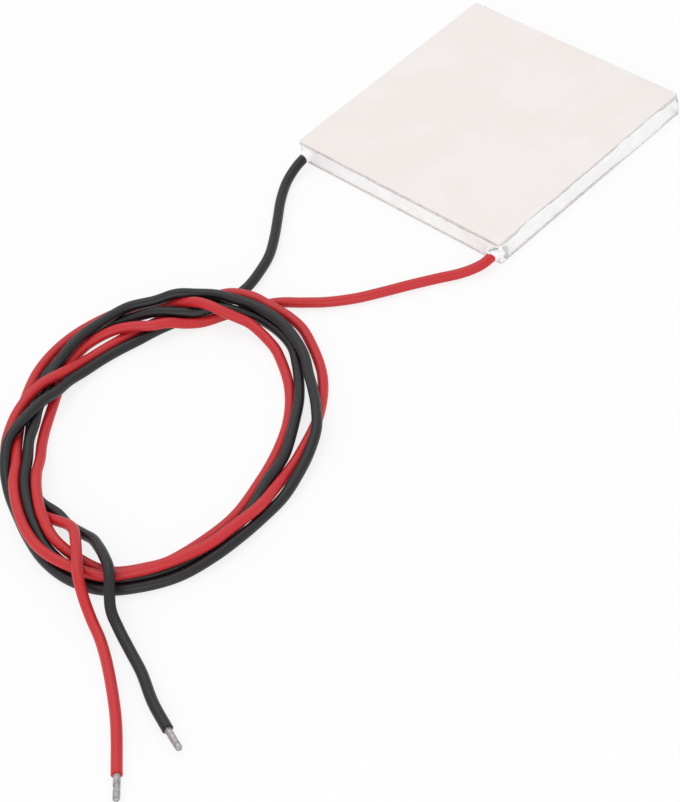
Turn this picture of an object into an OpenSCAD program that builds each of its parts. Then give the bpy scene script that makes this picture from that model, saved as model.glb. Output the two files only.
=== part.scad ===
// Thermoelectric cooling module with two loose leads.
// The module lies flat: X runs along the side that the leads leave, +Y points away
// from the leads, +Z is up. The origin is at the bottom centre of the hot plate.
// All sizes are in millimetres.

/* [Ceramic plates] */
// Side of the two square plates
plate_side = 40; // [36:0.5:50]
// Thickness of each plate
plate_t = 0.8; // [0.5:0.05:1.5]
// Radius of the plates' corners
corner_r = 0.3; // [0.1:0.1:0.8]

/* [Semiconductor legs] */
// Leg positions along one side of the square grid, an even number
legs_per_side = 20; // [12:2:20]
// Side of each square leg
leg_side = 1.3; // [0.8:0.05:1.4]
// Height of each leg
leg_h = 1.4; // [1.2:0.1:3]
// Bare border from the plates' edge to the outer legs
border = 0.9; // [0.85:0.05:1.4]

/* [Copper tabs] */
// Thickness of the copper tabs
tab_t = 0.35; // [0.2:0.05:0.5]
// Distance that a tab reaches past its legs on every side
tab_lip = 0.1; // [0.05:0.05:0.15]

/* [Edge seal] */
// Depth of the seal's outer face behind the plates' edge
seal_inset = 0.1; // [0:0.05:0.2]
// Clearance between the seal and the copper tabs
seal_gap = 0.05; // [0.05:0.05:0.2]
// Thickness of the silicone around a lead where it leaves the seal
collar_wall = 0.4; // [0.2:0.05:0.5]
// Length of the silicone collar outside the plates' edge
collar_len = 1.1; // [0.8:0.1:2]

/* [Leads] */
// Outer diameter of the insulated leads
lead_d = 1.5; // [1.2:0.1:1.6]
// Diameter of the bare conductor inside the module
conductor_d = 0.8; // [0.6:0.05:0.9]
// Diameter of the tinned free ends
tip_d = 1; // [0.7:0.05:1.1]
// Length of the tinned free ends
tip_len = 3.8; // [2:0.1:8]
// Clearance around the insulation in the seal
lead_clear = 0.05; // [0.02:0.01:0.1]
// Thickness of the silicone between a lead and the hot plate
lead_bed = 0.1; // [0.05:0.05:0.3]
// Outward slant of the red lead where it leaves the seal, in degrees
red_slant = 20; // [0:5:25]
// Outward slant of the black lead where it leaves the seal, in degrees
black_slant = 0; // [0:5:25]

/* [Hidden] */
// The legs stand in groups of neighbouring columns, one node of each kind a group.
banks = 10;

function two_digits(i) = i < 10 ? str("0", i) : str(i);
function numbered(name) = [for (b = [1:banks]) str(name, "_", two_digits(b))];

// Levels, from the bottom up.
gap_h = leg_h + 2 * tab_t;
leg_z = plate_t + tab_t;
cold_tab_z = leg_z + leg_h;
cold_plate_z = plate_t + gap_h;

// Leg grid. Its outermost centre line is also where the leads are soldered.
edge = plate_side / 2;
corner = edge - border - leg_side / 2;
pitch = 2 * corner / (legs_per_side - 1);
positions = legs_per_side * legs_per_side;

// The current's path up one column and down the next, from the red lead's corner
// to the black lead's corner. Both corner positions carry a lead and not a leg.
function column(i) = floor(i / legs_per_side);
function step(i) = i % legs_per_side;
function row(i) = column(i) % 2 == 0 ? step(i) : legs_per_side - 1 - step(i);
function place(i) = [corner - column(i) * pitch, row(i) * pitch - corner];
function bank(i) = 1 + floor(column(i) * banks / legs_per_side);
function is_bridge(i) = column(i) != column(i + 1);

// Leads. A stub is the straight start of a lead, measured from the centre of its
// corner position; side is 1 for the red lead and -1 for the black one.
RED = 1;
BLACK = -1;
hole_r = lead_d / 2 + lead_clear;
exit_z = plate_t + max(tab_t + conductor_d / 2, hole_r + lead_bed);
seal_inner = edge - border + tab_lip + seal_gap;
inner_end = -0.45 * leg_side;
insulation_start = edge - corner - seal_inset - (edge - seal_inset - seal_inner) * 0.75;
stub_len = 1.9;
function slant(side) = side == RED ? red_slant : black_slant;
function stub(side, s) =
    [side * (corner + s * sin(slant(side))), -corner - s * cos(slant(side)), exit_z];

// Routes of the leads on the surface that the module lies on.
cord_sides = 8;
cord_rings = 78;
lead_z = 0.8;
loop = [4, -71];
function turn(angle, radius, z = lead_z) =
    [loop.x + radius * cos(angle), loop.y + radius * sin(angle), z];

red_route = concat(
    [stub(RED, insulation_start), stub(RED, stub_len)],
    [[19.3, -22.8, 1.2], [17.6, -25.5, lead_z], [13, -31.5, lead_z], [8.5, -38, lead_z],
     [3.5, -42.5, lead_z]],
    [for (a = [100:20:900]) turn(a, 26 - (a - 100) * 3.6 / 360)],
    [turn(915, 18.4, 1.6), turn(928, 20.5, 2.6), turn(932, 24, 2.6), turn(935, 28, 2.3),
     [24, -101.5, lead_z], [34, -108.5, lead_z], [43, -116, lead_z]]);
black_route = concat(
    [stub(BLACK, insulation_start), stub(BLACK, stub_len)],
    [[-18.2, -22.5, 1.2], [-17.2, -26, lead_z], [-13.5, -31.5, lead_z], [-9.5, -37.5, 1.6],
     [-7, -43, 2.6]],
    [turn(112, 26, 2.5), turn(124, 24.2, 1.5)],
    [for (a = [140:20:920]) turn(a, 24.2 - (a - 100) * 3.6 / 360)],
    [turn(935, 17.4, 2.3), turn(944, 19.5, 2.6), turn(947, 24, 2.6), turn(948, 28, 2.3),
     [29, -100, lead_z], [37, -105, lead_z], [44, -107, lead_z]]);

// Smooth curve through a route's points, with s counted in points from the start.
function end_point(route, i) =
    i < 0 ? 2 * route[0] - route[1] :
    i >= len(route) ? 2 * route[len(route) - 1] - route[len(route) - 2] : route[i];
function curve(route, s) =
    let (i = min(floor(s), len(route) - 2), t = s - i,
         a = end_point(route, i - 1), b = route[i], c = route[i + 1], d = end_point(route, i + 2))
    b + t / 2 * ((c - a) + t * ((2 * a - 5 * b + 4 * c - d) + t * (3 * b - a - 3 * c + d)));
function heading(route, s) =
    let (h = 0.01, lo = max(s - h, 0), hi = min(s + h, len(route) - 1),
         d = curve(route, hi) - curve(route, lo))
    d / norm(d);
function ring(route, s) =
    let (ahead = heading(route, s), across = cross(ahead, [0, 0, 1]),
         right = across / norm(across), up = cross(right, ahead))
    [for (k = [0:cord_sides - 1]) let (a = 360 * (k + 0.5) / cord_sides)
        curve(route, s) + lead_d / 2 * (cos(a) * right + sin(a) * up)];

module ceramic_plate() {
    flat = plate_side - 2 * corner_r;
    linear_extrude(plate_t) {
        square([plate_side, flat], center = true);
        square([flat, plate_side], center = true);
        for (x = [-1, 1], y = [-1, 1])
            translate([x, y] * flat / 2) circle(corner_r, $fn = 32);
    }
}

module hot_plate() {
    color("linen") ceramic_plate();
}

module cold_plate() {
    color("linen") translate([0, 0, cold_plate_z]) ceramic_plate();
}

module leg(i) {
    translate([place(i).x - leg_side / 2, place(i).y - leg_side / 2, leg_z])
        cube([leg_side, leg_side, leg_h]);
}

// One copper tab over positions i and i + 1 of the path.
module tab(i, z) {
    width = leg_side + 2 * tab_lip;
    from = [min(place(i).x, place(i + 1).x), min(place(i).y, place(i + 1).y)];
    to = [max(place(i).x, place(i + 1).x), max(place(i).y, place(i + 1).y)];
    translate([from.x - width / 2, from.y - width / 2, z])
        cube([to.x - from.x + width, to.y - from.y + width, tab_t]);
}

module legs(first, group) {
    for (i = [first:2:positions - 2])
        if (bank(i) == group) leg(i);
}

module n_legs(group) {
    color("dimgray") legs(1, group);
}

module p_legs(group) {
    color("slategray") legs(2, group);
}

module hot_tabs(group) {
    color("peru")
        for (i = [2:2:positions - 4])
            if (bank(i) == group) tab(i, plate_t);
}

module cold_tabs(group) {
    color("peru")
        for (i = [1:2:positions - 3])
            if (!is_bridge(i) && bank(i) == group) tab(i, cold_tab_z);
}

// Tabs that carry the current from one column to the next.
module bridges(lead_side) {
    color("peru")
        for (i = [1:2:positions - 3])
            if (is_bridge(i) && (row(i) == 0) == lead_side) tab(i, cold_tab_z);
}

module terminal(side) {
    color("peru") tab(side == RED ? 0 : positions - 2, plate_t);
}

// A rod from one point to another.
module rod(from, to, d) {
    v = to - from;
    translate(from) rotate([0, acos(v.z / norm(v)), atan2(v.y, v.x)])
        cylinder(h = norm(v), d = d, $fn = 32);
}

module conductor(side) {
    color("silver") rod(stub(side, inner_end), stub(side, insulation_start), conductor_d);
}

// Bead of solder on the terminal, with the conductor through it.
module solder(side) {
    pad = stub(side, 0);
    bead_h = exit_z - leg_z + conductor_d / 2 + 0.1;
    color("lightgray") difference() {
        translate([pad.x, pad.y, leg_z]) intersection() {
            scale(bead_h) sphere(1, $fn = 48);
            cylinder(h = bead_h, d = leg_side + tab_lip, $fn = 48);
        }
        rod(stub(side, inner_end), stub(side, insulation_start), conductor_d);
    }
}

module edge_seal() {
    outer = 2 * (edge - seal_inset);
    inner = 2 * seal_inner;
    color("whitesmoke") translate([0, 0, plate_t]) difference() {
        translate([-outer / 2, -outer / 2, 0]) cube([outer, outer, gap_h]);
        translate([-inner / 2, -inner / 2, -1]) cube([inner, inner, gap_h + 2]);
        translate([0, 0, -plate_t]) for (side = [RED, BLACK]) lead_hole(side);
    }
}

module lead_hole(side) {
    rod(stub(side, 0), stub(side, 4 * lead_d), 2 * hole_r);
}

// Silicone that was wiped round a lead where it leaves the seal: a dome with a
// tapered nose, turned about the lead.
module collar(side) {
    r = lead_d / 2 + collar_wall;
    nose_r = lead_d / 2 + collar_wall / 3;
    seal_face = edge - seal_inset;
    color("whitesmoke") difference() {
        translate(stub(side, (seal_face - corner) / cos(slant(side))))
            rotate([90, 0, side * slant(side)])
                rotate_extrude($fn = 48) intersection() {
                    union() {
                        circle(r, $fn = 48);
                        polygon([[0, 0], [0.9 * r, 0], [nose_r, collar_len], [0, collar_len]]);
                    }
                    translate([hole_r, -r]) square([r, r + collar_len]);
                }
        translate([-plate_side, -seal_face, plate_t]) cube([2 * plate_side, edge, gap_h]);
        for (z = [-plate_t, cold_plate_z])
            translate([-plate_side, -edge, z]) cube([2 * plate_side, edge, 2 * plate_t]);
    }
}

module lead(route) {
    last = len(route) - 1;
    points = [for (k = [0:cord_rings - 1]) each ring(route, k * last / (cord_rings - 1))];
    n = cord_sides;
    polyhedron(points, concat(
        [[for (k = [0:n - 1]) n - 1 - k]],
        [for (r = [0:cord_rings - 2], k = [0:n - 1])
            let (a = r * n + k, b = r * n + (k + 1) % n) [a, b, b + n, a + n]],
        [[for (k = [0:n - 1]) (cord_rings - 1) * n + k]]));
}

module red_lead() {
    color("crimson") lead(red_route);
}

module black_lead() {
    color("black") lead(black_route);
}

// Stripped and tinned free end of a lead.
module tip(route) {
    end = route[len(route) - 1];
    color("silver") rod(end, end + tip_len * heading(route, len(route) - 1), tip_d);
}

hot_plate();
cold_plate();
edge_seal();
terminal(RED);  // red_terminal
terminal(BLACK);  // black_terminal
solder(RED);  // red_solder
solder(BLACK);  // black_solder
conductor(RED);  // red_conductor
conductor(BLACK);  // black_conductor
collar(RED);  // red_collar
collar(BLACK);  // black_collar
red_lead();
black_lead();
tip(red_route);  // red_tip
tip(black_route);  // black_tip
bridges(true);  // lead_side_bridges
bridges(false);  // far_side_bridges
for (b = [1:banks]) {
    hot_tabs(b);
    cold_tabs(b);
    n_legs(b);
    p_legs(b);
}
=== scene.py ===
"""Thermoelectric cooling module with a red and a black lead, lying loose on a pale floor.

Lengths are written in millimetres, and mm() turns them into Blender's metres.
"""

import math

import bmesh
import bpy
from mathutils import Matrix, Vector, noise


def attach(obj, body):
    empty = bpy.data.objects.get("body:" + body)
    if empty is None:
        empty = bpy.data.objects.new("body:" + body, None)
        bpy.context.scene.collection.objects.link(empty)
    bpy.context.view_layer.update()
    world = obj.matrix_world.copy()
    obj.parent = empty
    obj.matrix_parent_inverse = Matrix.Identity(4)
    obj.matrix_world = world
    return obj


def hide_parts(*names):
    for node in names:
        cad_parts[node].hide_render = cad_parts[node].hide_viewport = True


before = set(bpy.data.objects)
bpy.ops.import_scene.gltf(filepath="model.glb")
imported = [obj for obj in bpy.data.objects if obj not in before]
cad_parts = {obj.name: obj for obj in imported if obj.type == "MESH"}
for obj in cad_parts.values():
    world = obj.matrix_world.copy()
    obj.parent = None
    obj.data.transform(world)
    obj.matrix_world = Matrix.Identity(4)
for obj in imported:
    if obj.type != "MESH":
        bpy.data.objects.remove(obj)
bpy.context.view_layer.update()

# ---------------------------------------------------------------- lengths and colours


def mm(value):
    """Metres from millimetres, for a number or a point."""
    if isinstance(value, (int, float)):
        return value / 1000
    return Vector(value) / 1000


def swatch(red, green, blue):
    """Linear colour from the 0 to 255 values of a colour swatch."""

    def channel(value):
        value /= 255
        return value / 12.92 if value < 0.04045 else ((value + 0.055) / 1.055) ** 2.4

    return (channel(red), channel(green), channel(blue), 1)


# ---------------------------------------------------------------- camera

AIM = (19.89, -53.26, 0)
DISTANCE = 350.5
AZIMUTH, ELEVATION, ROLL = 52.153, 44.978, -11.665


def place_camera():
    """A long lens looks down on the module's near corner and the leads in front of it."""
    azimuth, elevation, roll = (math.radians(a) for a in (AZIMUTH, ELEVATION, ROLL))
    back = Vector((math.sin(azimuth) * math.cos(elevation),
                   -math.cos(azimuth) * math.cos(elevation),
                   math.sin(elevation)))
    level = Vector((math.cos(azimuth), math.sin(azimuth), 0))
    across = level * math.cos(roll) + back.cross(level) * math.sin(roll)
    data = bpy.data.cameras.new("camera")
    data.sensor_fit = "HORIZONTAL"
    data.sensor_width = 36
    data.lens = 136.3
    data.clip_start = 0.01
    data.clip_end = 5
    camera = bpy.data.objects.new("camera", data)
    bpy.context.scene.collection.objects.link(camera)
    turned = Matrix((across, back.cross(across), back)).transposed().to_4x4()
    camera.matrix_world = Matrix.Translation(mm(AIM) + back * mm(DISTANCE)) @ turned
    bpy.context.scene.camera = camera


# ---------------------------------------------------------------- shader expressions


class Field:
    """A number that varies over a surface: one socket, with ordinary arithmetic."""

    def __init__(self, finish, socket):
        self.finish = finish
        self.socket = socket

    def math(self, operation, *values):
        return self.finish.node("Math", {"operation": operation}, dict(enumerate(values)))

    def __add__(self, other):
        return self.math("ADD", self, other)

    def __sub__(self, other):
        return self.math("SUBTRACT", self, other)

    def __rsub__(self, other):
        return self.math("SUBTRACT", other, self)

    def __mul__(self, other):
        return self.math("MULTIPLY", self, other)

    def __truediv__(self, other):
        return self.math("DIVIDE", self, other)

    __radd__ = __add__
    __rmul__ = __mul__

    def rises(self, low, high):
        """0 below low, 1 above high, with a smooth step between them."""
        settings = {"interpolation_type": "SMOOTHSTEP"}
        return self.finish.node("MapRange", settings, {"Value": self, 1: low, 2: high})


class Finish:
    """One material, built around a Principled surface."""

    def __init__(self, name):
        self.material = bpy.data.materials.new(name)
        self.material.use_nodes = True
        self.tree = self.material.node_tree
        self.tree.nodes.clear()
        self.output = self.tree.nodes.new("ShaderNodeOutputMaterial")
        self.place = self.node("TexCoord", output="Object")

    def node(self, kind, settings=None, inputs=None, output=0):
        """Adds a node: its settings first, then the values or links of its sockets."""
        node = self.tree.nodes.new("ShaderNode" + kind)
        for key, value in (settings or {}).items():
            setattr(node, key, value)
        for key, value in (inputs or {}).items():
            if isinstance(value, Field):
                self.tree.links.new(value.socket, node.inputs[key])
            else:
                node.inputs[key].default_value = value
        return Field(self, node.outputs[output])

    def noise(self, size, detail=2.0, roughness=0.5, stretch=None):
        """Soft noise from 0 to 1 whose patches are about size millimetres across."""
        place = self.place
        if stretch:
            settings = {"operation": "MULTIPLY"}
            place = self.node("VectorMath", settings, {0: place, 1: stretch})
        inputs = {"Vector": place, "Scale": 1 / mm(size), "Detail": detail, "Roughness": roughness}
        return self.node("TexNoise", None, inputs)

    def mix(self, factor, first, second):
        """Colour that goes from first to second."""
        settings = {"data_type": "RGBA"}
        return self.node("Mix", settings, {0: factor, 6: first, 7: second}, output=2)

    def bump(self, height, depth, strength=1.0):
        """Surface relief of about depth millimetres."""
        inputs = {"Height": height, "Distance": mm(depth), "Strength": strength}
        return self.node("Bump", None, inputs)

    def surface(self, **sockets):
        """Joins the shader, whose sockets are named with underscores for spaces."""
        inputs = {key.replace("_", " "): value for key, value in sockets.items()}
        shader = self.node("BsdfPrincipled", None, inputs)
        self.tree.links.new(shader.socket, self.output.inputs["Surface"])
        return self.material


# ---------------------------------------------------------------- finishes


def ceramic():
    """Ground white alumina; its sides darker, partly the laser-cut edge's own grey-brown tone and
    partly painted shade.
    """
    finish = Finish("ceramic")
    level = finish.node("NewGeometry", output="Normal")
    upright = finish.node("SeparateXYZ", None, {0: level}, output=2)
    # Mask of the side faces, read from their normals: it gives the sides a darker colour, partly
    # the cut edge's own tone and partly painted shade, and also roughens and bumps them.
    cut_side_and_shade = 1 - upright.math("ABSOLUTE", upright).rises(0.3, 0.8)
    cloud = finish.noise(9, 3)
    warm = finish.mix(cloud.rises(0.35, 0.7), swatch(236, 228, 225), swatch(239, 233, 231))
    grain = finish.noise(0.12, 2)
    speck = grain.rises(0.66, 0.76) * 0.25
    face = finish.mix(speck, warm, swatch(226, 218, 212))
    scorch = finish.noise(0.7, 4, 0.6)
    # Colour of the sides: the grey-brown laser-cut tone with painted shade in it, varied by the
    # scorch noise.
    cut_tone_and_shade = finish.mix(scorch.rises(0.35, 0.65), swatch(206, 198, 196), swatch(228, 222, 219))
    return finish.surface(
        Base_Color=finish.mix(cut_side_and_shade, face, cut_tone_and_shade),
        Roughness=0.42 + 0.12 * cloud + 0.2 * cut_side_and_shade,
        IOR=1.6,
        Normal=finish.bump(grain + cut_side_and_shade * scorch * 3, 0.004, 0.6),
    )


def silicone():
    """White sealing silicone, wiped by hand."""
    finish = Finish("silicone")
    smear = finish.noise(1.6, 3, 0.55)
    wipe = finish.noise(0.5, 2)
    return finish.surface(
        Base_Color=finish.mix(smear.rises(0.3, 0.7), swatch(246, 244, 244), swatch(252, 252, 252)),
        Roughness=0.3 + 0.25 * wipe,
        Subsurface_Weight=0.12,
        Subsurface_Radius=(mm(0.6), mm(0.5), mm(0.45)),
        Normal=finish.bump(wipe + smear, 0.05, 0.5),
    )


def insulation(name, colour, faded):
    """Satin vinyl with faint drawing marks and handling scuffs."""
    finish = Finish(name)
    wear = finish.noise(5, 4, 0.6)
    dust = finish.noise(0.35, 3, 0.6)
    scuff = wear.rises(0.5, 0.75) * dust.rises(0.45, 0.7)
    return finish.surface(
        Base_Color=finish.mix(0.25 * wear + 0.55 * scuff, colour, faded),
        Roughness=0.36 + 0.12 * wear + 0.15 * scuff,
        IOR=1.5,
        Normal=finish.bump(dust, 0.01, 0.35),
    )


def metal(name, colour, tarnish, roughness, patch=0.5):
    """Plain metal with a duller film in patches."""
    finish = Finish(name)
    film = finish.noise(patch, 4, 0.6)
    return finish.surface(
        Base_Color=finish.mix(film.rises(0.35, 0.7), colour, tarnish),
        Metallic=1,
        Roughness=roughness + 0.2 * film,
        Normal=finish.bump(film, 0.01, 0.4),
    )


# ---------------------------------------------------------------- pieces


def add_object(name, data, material):
    """Puts a piece in the scene."""
    piece = bpy.data.objects.new(name, data)
    piece.data.materials.append(material)
    bpy.context.scene.collection.objects.link(piece)
    return piece


# Leads: a loose loop of about two and a half turns, then the two free ends.
LEAD_D = 1.5
LEAD_Z = 0.8
EXIT_Z = 1.7
SOLDER_CORNER = 18.45
SEAL_FACE = 1.45
INSULATION_START, STUB_LEN = 0.9625, 1.9
RED_SLANT, BLACK_SLANT = 20, 0
LOOP = (4, -71)


def stub(side, slant, along):
    """Point on the straight start of a lead; side is 1 for red and -1 for black."""
    slant = math.radians(slant)
    return (side * (SOLDER_CORNER + along * math.sin(slant)),
            -SOLDER_CORNER - along * math.cos(slant), EXIT_Z)


def turn(angle, radius, z=LEAD_Z):
    """Point of the loose loop."""
    angle = math.radians(angle)
    return (LOOP[0] + radius * math.cos(angle), LOOP[1] + radius * math.sin(angle), z)


RED_ROUTE = [
    stub(1, RED_SLANT, INSULATION_START), stub(1, RED_SLANT, STUB_LEN), (18.7, -22.6, 1.2),
    (17.2, -25.2, LEAD_Z), (15, -28.2, LEAD_Z), (12.8, -31.3, LEAD_Z), (10.6, -34.6, LEAD_Z),
    (8.3, -37.8, LEAD_Z), (5.5, -40.7, LEAD_Z), (2.6, -42.9, LEAD_Z), (-0.2, -44.9, LEAD_Z),
    turn(106, 24.1), turn(113, 21.9), turn(121, 19.9), turn(128, 19.0, 1.3), turn(135, 18.6, 2.1),
    turn(143, 18.3, 2.4), turn(152, 19.2, 2.4), turn(160, 20.2, 1.9), turn(170, 20.8, 1.1),
    turn(180, 20.1), turn(190, 18.8), turn(200, 17.6), turn(210, 17.1), turn(220, 17.1),
    turn(230, 17.3, 1.1), turn(240, 17.8, 1.5), turn(250, 19.1, 2.2), turn(260, 20.7, 2.4),
    turn(270, 22.6, 2.4), turn(280, 24.6, 2.2), turn(290, 25.8, 1.5), turn(300, 26.6, 0.9),
    turn(310, 25.8), turn(320, 24.5), turn(340, 21.1), turn(360, 18.2), turn(380, 17.0),
    turn(400, 16.9), turn(420, 17.5), turn(440, 18.9), turn(450, 19.7, 1.1), turn(460, 20.4, 1.7),
    turn(466, 20.3, 2.3), turn(472, 20.2, 3.0), turn(478, 20.5, 3.6), turn(484, 21.1, 3.5),
    turn(490, 22.1, 2.4), turn(497, 23.5, 1.4), turn(504, 24.5, 1.0), turn(512, 24.6),
    turn(520, 24.4), turn(530, 24.1), turn(540, 23.6), turn(550, 22.9), turn(560, 22.0),
    turn(570, 21.3), turn(580, 20.8, 0.9), turn(590, 20.6, 1.8), turn(600, 21.0, 2.2),
    turn(610, 22.4, 2.4), turn(620, 23.9, 2.3), turn(630, 25.6, 2.3), turn(640, 27.1, 2.4),
    turn(650, 27.9, 2.4), turn(660, 28.5, 2.3), turn(670, 27.5, 2.3), turn(680, 26.3, 2.4),
    turn(690, 25.0, 2.3), turn(700, 23.5, 2.3), turn(710, 22.6, 2.2), turn(720, 21.3, 1.7),
    turn(730, 20.4, 1.0), turn(740, 20.2), turn(760, 21.0), turn(780, 22.3), turn(800, 23.9, 0.9),
    turn(810, 24.6, 1.2), turn(820, 24.6, 1.9), turn(826, 24.7, 2.4), turn(834, 24.6, 2.3),
    turn(841, 24.0, 1.5), turn(848, 22.7), turn(856, 21.1), turn(864, 20.1), turn(874, 19.2),
    turn(884, 18.7), turn(894, 18.5, 0.9), turn(902, 18.3, 1.6), turn(910, 18.4, 2.4),
    turn(920, 19.5, 2.9), turn(930, 20.7, 2.5), turn(940, 21.5, 2.2), turn(950, 22.3, 1.3),
    turn(960, 21.8), turn(970, 21.8), turn(980, 22.3), turn(988, 21.8, 1.0), turn(995, 21.8, 1.9),
    turn(1001, 22.0, 2.6), turn(1005, 22.8, 3.1), turn(1009, 24.8, 3.7), turn(1012.5, 27.4, 4.1),
    turn(1015, 30.0, 3.8), (19.2, -99.8, 2.5), (21.8, -101.1, 1.5), (25.3, -102.7, 0.9),
    (30, -105.6, LEAD_Z), (36, -110, LEAD_Z), (42, -115.4, LEAD_Z),
]
BLACK_ROUTE = [
    stub(-1, BLACK_SLANT, INSULATION_START), stub(-1, BLACK_SLANT, STUB_LEN), (-18.4, -22.6, 1.3),
    (-17.6, -25.6, LEAD_Z), (-15.5, -29, LEAD_Z), (-12.9, -32.3, LEAD_Z), (-10.4, -35.5, LEAD_Z),
    (-8.3, -38.7, LEAD_Z), (-7, -42, LEAD_Z), (-6.2, -45.3, LEAD_Z), (-6.4, -48.4, LEAD_Z),
    (-7.4, -51.5, LEAD_Z), (-8.9, -54.8, LEAD_Z), turn(140, 18.9), turn(150, 17.7),
    turn(160, 17.2), turn(170, 16.9, 0.9), turn(180, 16.8, 1.1), turn(190, 17.0, 1.6),
    turn(200, 17.0, 2.3), turn(210, 17.8, 3.2), turn(220, 19.4, 3.3), turn(230, 21.5, 3.0),
    turn(240, 22.6, 2.1), turn(250, 23.4, 1.1), turn(260, 24.2), turn(270, 25.6), turn(280, 27.4),
    turn(290, 28.9), turn(300, 29.6), turn(310, 28.9), turn(320, 27.8), turn(330, 26.3, 1.1),
    turn(340, 24.7, 1.1), turn(350, 23.4, 0.9), turn(360, 22.7, 0.9), turn(370, 22.1, 1.3),
    turn(380, 21.7, 1.6), turn(390, 21.5, 2.2), turn(400, 20.9, 2.4), turn(410, 20.5, 2.2),
    turn(420, 20.5, 1.9), turn(430, 21.2, 2.0), turn(440, 21.8, 2.3), turn(450, 22.5, 2.4),
    turn(460, 23.0, 2.5), turn(466, 23.1, 2.7), turn(472, 23.0, 3.0), turn(478, 23.3, 3.0),
    turn(485, 23.3, 3.0), turn(492, 22.9, 3.5), turn(500, 22.7, 2.9), turn(510, 22.8, 2.8),
    turn(520, 22.1, 2.6), turn(530, 21.4, 2.6), turn(540, 20.6, 2.4), turn(550, 20.1, 1.6),
    turn(560, 19.1, 1.4), turn(570, 18.6, 1.9), turn(580, 18.3, 2.1), turn(590, 18.8, 2.3),
    turn(600, 19.4, 2.2), turn(610, 20.8, 2.3), turn(620, 22.3, 2.3), turn(630, 24.1, 1.9),
    turn(640, 26.0, 1.3), turn(650, 27.3, 0.9), turn(660, 28.1), turn(670, 27.3), turn(680, 26.1),
    turn(690, 24.4), turn(700, 22.7, 0.9), turn(710, 21.2, 1.4), turn(720, 19.7, 1.8),
    turn(730, 19.0, 1.6), turn(740, 18.5, 1.6), turn(760, 18.2, 1.9), turn(770, 18.5, 1.7),
    turn(780, 19.0, 1.3), turn(790, 19.9, 0.9), turn(800, 21.2), turn(810, 21.9, 0.9),
    turn(820, 22.4, 1.0), turn(826, 22.0, 1.6), turn(832, 21.6, 2.2), turn(838, 21.4, 2.2),
    turn(844, 20.5, 2.0), turn(850, 20.3, 2.3), turn(860, 20.9, 2.4), turn(870, 21.8, 1.5),
    turn(878, 22.7, 1.0), turn(886, 22.7, 0.9), turn(894, 22.3), turn(902, 21.6), turn(910, 21.4),
    turn(920, 20.5), turn(930, 19.7), turn(940, 19.2), turn(950, 19.3), turn(960, 20.0),
    turn(970, 20.2), turn(980, 20.6), turn(990, 20.3), turn(998, 21.0), turn(1007, 22.0, 1.7),
    turn(1012, 22.9, 2.4), turn(1016, 24.4, 3.1), turn(1020, 26.6, 4.0), turn(1023, 29.2, 4.2),
    (23, -98.6, 2.4), (25.6, -99.9, 1.4), (29.2, -101.3, 0.9), (33, -102.8, LEAD_Z),
    (37.5, -105.1, LEAD_Z), (42, -106.8, LEAD_Z),
]


def with_ends(route):
    """A route's points in metres, with one more mirrored beyond each end."""
    points = [mm(p) for p in route]
    return [2 * points[0] - points[1]] + points + [2 * points[-1] - points[-2]]


def lead(name, route, material):
    """Insulated wire: one smooth spline through the points of its route."""
    curve = bpy.data.curves.new(name, "CURVE")
    curve.dimensions = "3D"
    curve.bevel_depth = mm(LEAD_D / 2)
    curve.bevel_resolution = 6
    curve.resolution_u = 10
    curve.use_fill_caps = True
    spline = curve.splines.new("BEZIER")
    spline.bezier_points.add(len(route) - 1)
    ends = with_ends(route)
    for i, bezier in enumerate(spline.bezier_points):
        before, here, after = ends[i:i + 3]
        pull = (after - before) / 6
        bezier.co = here
        bezier.handle_left = here - pull
        bezier.handle_right = here + pull
    return add_object(name, curve, material)


def route_length(route):
    """Length of the curve through a route's points, in metres."""
    ends = with_ends(route)
    total = 0
    for i in range(len(route) - 1):
        a, b, c, d = ends[i:i + 4]
        last = b
        for k in range(1, 9):
            t = k / 8
            here = b + t / 2 * ((c - a) + t * ((2 * a - 5 * b + 4 * c - d)
                                               + t * (3 * b - a - 3 * c + d)))
            total += (here - last).length
            last = here
    return total



# ---------------------------------------------------------------- hand work

PLATE_EDGE, PLATE_T, COLD_Z = 20, 0.8, 2.9

# Where the sealant was wiped further over the plates' sides, by the distance in
# millimetres round the module from the black lead's corner: from, to, how far it
# covers the lower plate's side and how far it covers the upper one's.
SMEARS = ((35.4, 41.2, 0.8, 0.3), (44.5, 51, 0.3, 0.75), (51, 68, 0.2, 0.5),
          (66, 76, 0.78, 0.7), (92, 108, 0.7, 0.3), (131, 139, 0.75, 0.5))


def smooth(low, high, value):
    t = min(max((value - low) / (high - low), 0), 1)
    return t * t * (3 - 2 * t)


def wobble(place, size, seed=0):
    """Smooth irregularity from -1 to 1 whose bumps are about size millimetres."""
    return noise.noise(Vector(place) / size + Vector((seed, 2 * seed, 0)))


def loft(name, rings, material, closed=False):
    """Skin over rings of points, in millimetres; an open one gets end caps."""
    bm = bmesh.new()
    rows = [[bm.verts.new(mm(p)) for p in ring] for ring in rings]
    count = len(rows[0])
    for i in range(len(rows) if closed else len(rows) - 1):
        row, after = rows[i], rows[(i + 1) % len(rows)]
        for k in range(count):
            nxt = (k + 1) % count
            bm.faces.new((row[k], row[nxt], after[nxt], after[k]))
    if not closed:
        bm.faces.new(rows[0])
        bm.faces.new(rows[-1][::-1])
    bmesh.ops.recalc_face_normals(bm, faces=bm.faces)
    for face in bm.faces:
        face.smooth = len(face.verts) == 4
    mesh = bpy.data.meshes.new(name)
    bm.to_mesh(mesh)
    bm.free()
    piece = add_object(name, mesh, material)
    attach(piece, "root")
    return piece


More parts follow.
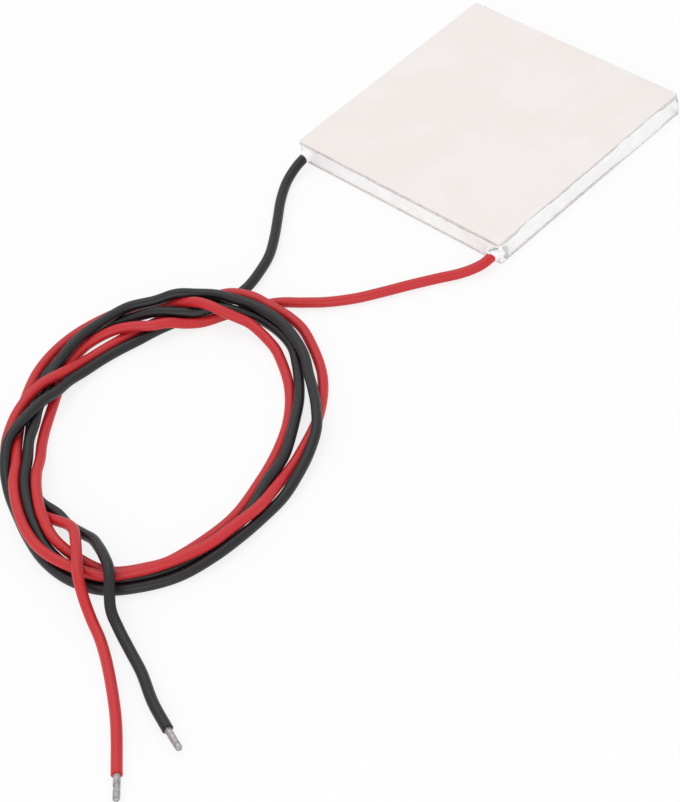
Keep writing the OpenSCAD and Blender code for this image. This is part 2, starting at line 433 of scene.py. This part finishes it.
def rim(along, out):
    """Point on the module's outline, out millimetres outside its sides, corners rounded."""
    side, along = divmod(along, 2 * PLATE_EDGE)
    x, y = along - PLATE_EDGE, -PLATE_EDGE - out
    clip = max(abs(x) - (PLATE_EDGE - 1), 0)
    x, y = x + math.copysign(out * clip, x), y + 0.2 * clip ** 3
    return Matrix.Rotation(side * math.pi / 2, 2) @ Vector((x, y))


SEAL_STEPS, SEAL_DEPTH = 720, 1
LAP_LOW, LAP_HIGH, SMEAR_FADE = 0.3, 0.24, 0.8
COLLAR_SIDES = 28
TIP_RADIUS, TIP_SIDES, TIP_RINGS, TIP_ROOT = 0.5, 42, 60, 0.5


def wiped_seal():
    """Sealant between the plates, wiped by hand so that it laps over their sides."""
    rings = []
    for i in range(SEAL_STEPS):
        along = 8 * PLATE_EDGE * i / SEAL_STEPS
        x, y = rim(along, 0)
        low = LAP_LOW + 0.14 * wobble((x, y, 0), 1.1) + 0.1 * wobble((x, y, 0), 0.4, 3)
        high = LAP_HIGH + 0.12 * wobble((x, y, 9), 1.3) + 0.08 * wobble((x, y, 9), 0.4, 3)
        for start, end, lower, upper in SMEARS:
            inside = (smooth(start - SMEAR_FADE, start + SMEAR_FADE, along)
                      * (1 - smooth(end - SMEAR_FADE, end + SMEAR_FADE, along)))
            low += inside * (lower - LAP_LOW)
            high += inside * (upper - LAP_HIGH)
        swell = 0.05 + 0.07 * wobble((x, y, 4), 2.4) + 0.04 * wobble((x, y, 4), 0.7)
        section = [(-SEAL_DEPTH, PLATE_T + 0.03), (-0.03, PLATE_T + 0.03),
                   (0.02, PLATE_T - max(low, 0.02)), (0.07 + 0.4 * swell, PLATE_T - 0.6 * low),
                   (0.07 + swell, PLATE_T + 0.3), (0.02 + swell, 1.5),
                   (0.02 + 0.5 * swell, 2.2), (0.06 + swell, COLD_Z - 0.25),
                   (0.06 + 0.4 * swell, COLD_Z + 0.6 * high), (0.02, COLD_Z + max(high, 0.02)),
                   (-0.03, COLD_Z - 0.03), (-SEAL_DEPTH, COLD_Z - 0.03)]
        rings.append([(*rim(along, out), z) for out, z in section])
    return loft("wiped_seal", rings, FINISHES["silicone"], closed=True)


def blob(name, side, slant, spread, reach):
    """Sealant drawn out round a lead where it leaves the module."""
    start = Vector(stub(side, slant, 0))
    heading = (Vector(stub(side, slant, 1)) - start).normalized()
    across = heading.cross(Vector((0, 0, 1)))
    rings = []
    for along, radius in ((-0.6, 1), (-0.1, 1.16), (0.15, 1.08), (0.45, 0.97), (0.75, 0.88),
                          (0.95, 0.83), (1.02, 0.79), (1, 0.7)):
        centre = start + (SEAL_FACE + along * reach) * heading
        fade = smooth(1, -0.2, along)
        ring = []
        for k in range(COLLAR_SIDES):
            turn_by = math.tau * k / COLLAR_SIDES
            wide = 1 + (spread - 1) * fade
            arm = (across * math.cos(turn_by) * wide + Vector((0, 0, 1)) * math.sin(turn_by))
            ring.append(centre + arm * radius * (1 + 0.04 * wobble(centre + arm, 0.9, side)))
        rings.append(ring)
    return loft(name, rings, FINISHES["silicone"])


def tinned_tip(name, route, length, lean):
    """Stripped end of a lead: its strands twisted and tinned together."""
    last = Vector(route[-1])
    heading = (last - Vector(route[-2])).normalized()
    across = heading.cross(Vector((0, 0, 1))).normalized()
    up = across.cross(heading)
    rings = []
    for i in range(TIP_RINGS + 1):
        along = -TIP_ROOT + (length + TIP_ROOT) * i / TIP_RINGS
        left = length - along
        slim = TIP_RADIUS * (0.94 + 0.06 * wobble((along, 0, length), 0.9))
        slim *= math.sqrt(max(1 - (1 - min(left / 0.45, 1)) ** 2, 0.05))
        bend = across * lean * (along / length) ** 2
        ring = []
        for k in range(TIP_SIDES):
            angle = math.tau * k / TIP_SIDES
            ridge = abs(math.sin(3.5 * (angle - 1.05 * along)))
            arm = across * math.cos(angle) + up * math.sin(angle)
            ring.append(last + bend + heading * along + arm * slim * (0.87 + 0.13 * ridge ** 0.6))
        rings.append(ring)
    return loft(name, rings, FINISHES["tinned_wire"])


# ---------------------------------------------------------------- floor and light


def build_floor():
    """Pale floor: it looks white to the camera and keeps part of the object's shadow."""
    finish = Finish("pale_floor")
    seen = finish.node("LightPath", output="Is Camera Ray")
    for ray in ("Is Glossy Ray", "Is Transmission Ray"):
        seen = seen.math("MAXIMUM", seen, finish.node("LightPath", output=ray))
    matt = finish.node("BsdfDiffuse", None, {"Color": swatch(246, 246, 246)})
    white = finish.node("Emission", None, {"Color": (1, 1, 1, 1), "Strength": 1})
    both = finish.node("MixShader", None, {0: seen * 0.8, 1: matt, 2: white})
    finish.tree.links.new(both.socket, finish.output.inputs["Surface"])
    bm = bmesh.new()
    bmesh.ops.create_grid(bm, x_segments=1, y_segments=1, size=1.5)
    mesh = bpy.data.meshes.new("floor")
    bm.to_mesh(mesh)
    bm.free()
    add_object("floor", mesh, finish.material)


def build_world():
    """White surroundings, a little dimmer as light than as background."""
    world = bpy.data.worlds.new("studio")
    bpy.context.scene.world = world
    world.use_nodes = True
    tree = world.node_tree
    tree.nodes.clear()
    output = tree.nodes.new("ShaderNodeOutputWorld")
    soft = tree.nodes.new("ShaderNodeBackground")
    soft.inputs["Color"].default_value = (1, 1, 1, 1)
    soft.inputs["Strength"].default_value = 0.84
    white = tree.nodes.new("ShaderNodeBackground")
    white.inputs["Color"].default_value = (1, 1, 1, 1)
    paths = tree.nodes.new("ShaderNodeLightPath")
    both = tree.nodes.new("ShaderNodeMixShader")
    tree.links.new(paths.outputs["Is Camera Ray"], both.inputs[0])
    tree.links.new(soft.outputs[0], both.inputs[1])
    tree.links.new(white.outputs[0], both.inputs[2])
    tree.links.new(both.outputs[0], output.inputs["Surface"])


def add_lamp(name, place, size, power):
    """Square soft box, aimed at the middle of the object."""
    data = bpy.data.lights.new(name, "AREA")
    data.size = size
    data.energy = power
    lamp = bpy.data.objects.new(name, data)
    bpy.context.scene.collection.objects.link(lamp)
    aim = mm(AIM)
    lamp.location = Vector(place)
    lamp.rotation_euler = (aim - lamp.location).to_track_quat("-Z", "Y").to_euler()


# ---------------------------------------------------------------- building

place_camera()
bpy.context.scene.view_settings.view_transform = "Standard"

FINISHES = {
    "ceramic": ceramic(),
    "silicone": silicone(),
    "copper": metal("copper", swatch(202, 132, 92), swatch(160, 96, 66), 0.25, 1.2),
    "solder": metal("solder", swatch(200, 200, 202), swatch(165, 165, 168), 0.3),
    "tinned_wire": metal("tinned_wire", swatch(190, 186, 186), swatch(150, 146, 148), 0.35),
    "n_type": metal("n_type", swatch(130, 132, 138), swatch(96, 98, 106), 0.35),
    "p_type": metal("p_type", swatch(150, 150, 154), swatch(112, 112, 118), 0.35),
    "red_insulation": insulation("red_insulation", swatch(194, 26, 34), swatch(200, 52, 58)),
    "black_insulation": insulation("black_insulation", swatch(12, 12, 17), swatch(34, 34, 41)),
}

SLOT_OF = {
    "hot_plate": "ceramic", "cold_plate": "ceramic", "edge_seal": "silicone",
    "red_collar": "silicone", "black_collar": "silicone",
    "red_solder": "solder", "black_solder": "solder",
    "red_conductor": "tinned_wire", "black_conductor": "tinned_wire",
    "red_tip": "tinned_wire", "black_tip": "tinned_wire",
}


def finish_of(node):
    """Finish of a construction node, from its name."""
    if node in SLOT_OF:
        return FINISHES[SLOT_OF[node]]
    if node.startswith("n_legs"):
        return FINISHES["n_type"]
    if node.startswith("p_legs"):
        return FINISHES["p_type"]
    return FINISHES["copper"]


seal = wiped_seal()
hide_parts("edge_seal")

for colour, route, slant, side, spread, reach, tip_length, lean in (
        ("red", RED_ROUTE, RED_SLANT, 1, 1.3, 1.25, 3.9, 0.12),
        ("black", BLACK_ROUTE, BLACK_SLANT, -1, 1.15, 1.1, 3.7, -0.12)):
    wire = lead(colour + "_wire", route, FINISHES[colour + "_insulation"])
    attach(wire, "root")
    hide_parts(colour + "_lead")
    colour + "_insulation"
    collar = blob(colour + "_sealing", side, slant, spread, reach)
    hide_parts(colour + "_collar")
    tip = tinned_tip(colour + "_strands", route, tip_length, lean)
    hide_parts(colour + "_tip")
    mouth = stub(side, slant, SEAL_FACE / math.cos(math.radians(slant)))
    mm(mouth)
    route_length(route)
    mm(LEAD_D)

for name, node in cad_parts.items():
    if node.type != "MESH" or name.endswith("_lead"):
        continue
    node.data.materials.clear()
    node.data.materials.append(finish_of(name))

build_floor()
build_world()
add_lamp("soft_box", (-0.25, 0.1, 0.7), 0.5, 0.9)
add_lamp("front_fill", (0.4, -0.6, 0.3), 0.5, 1.2)
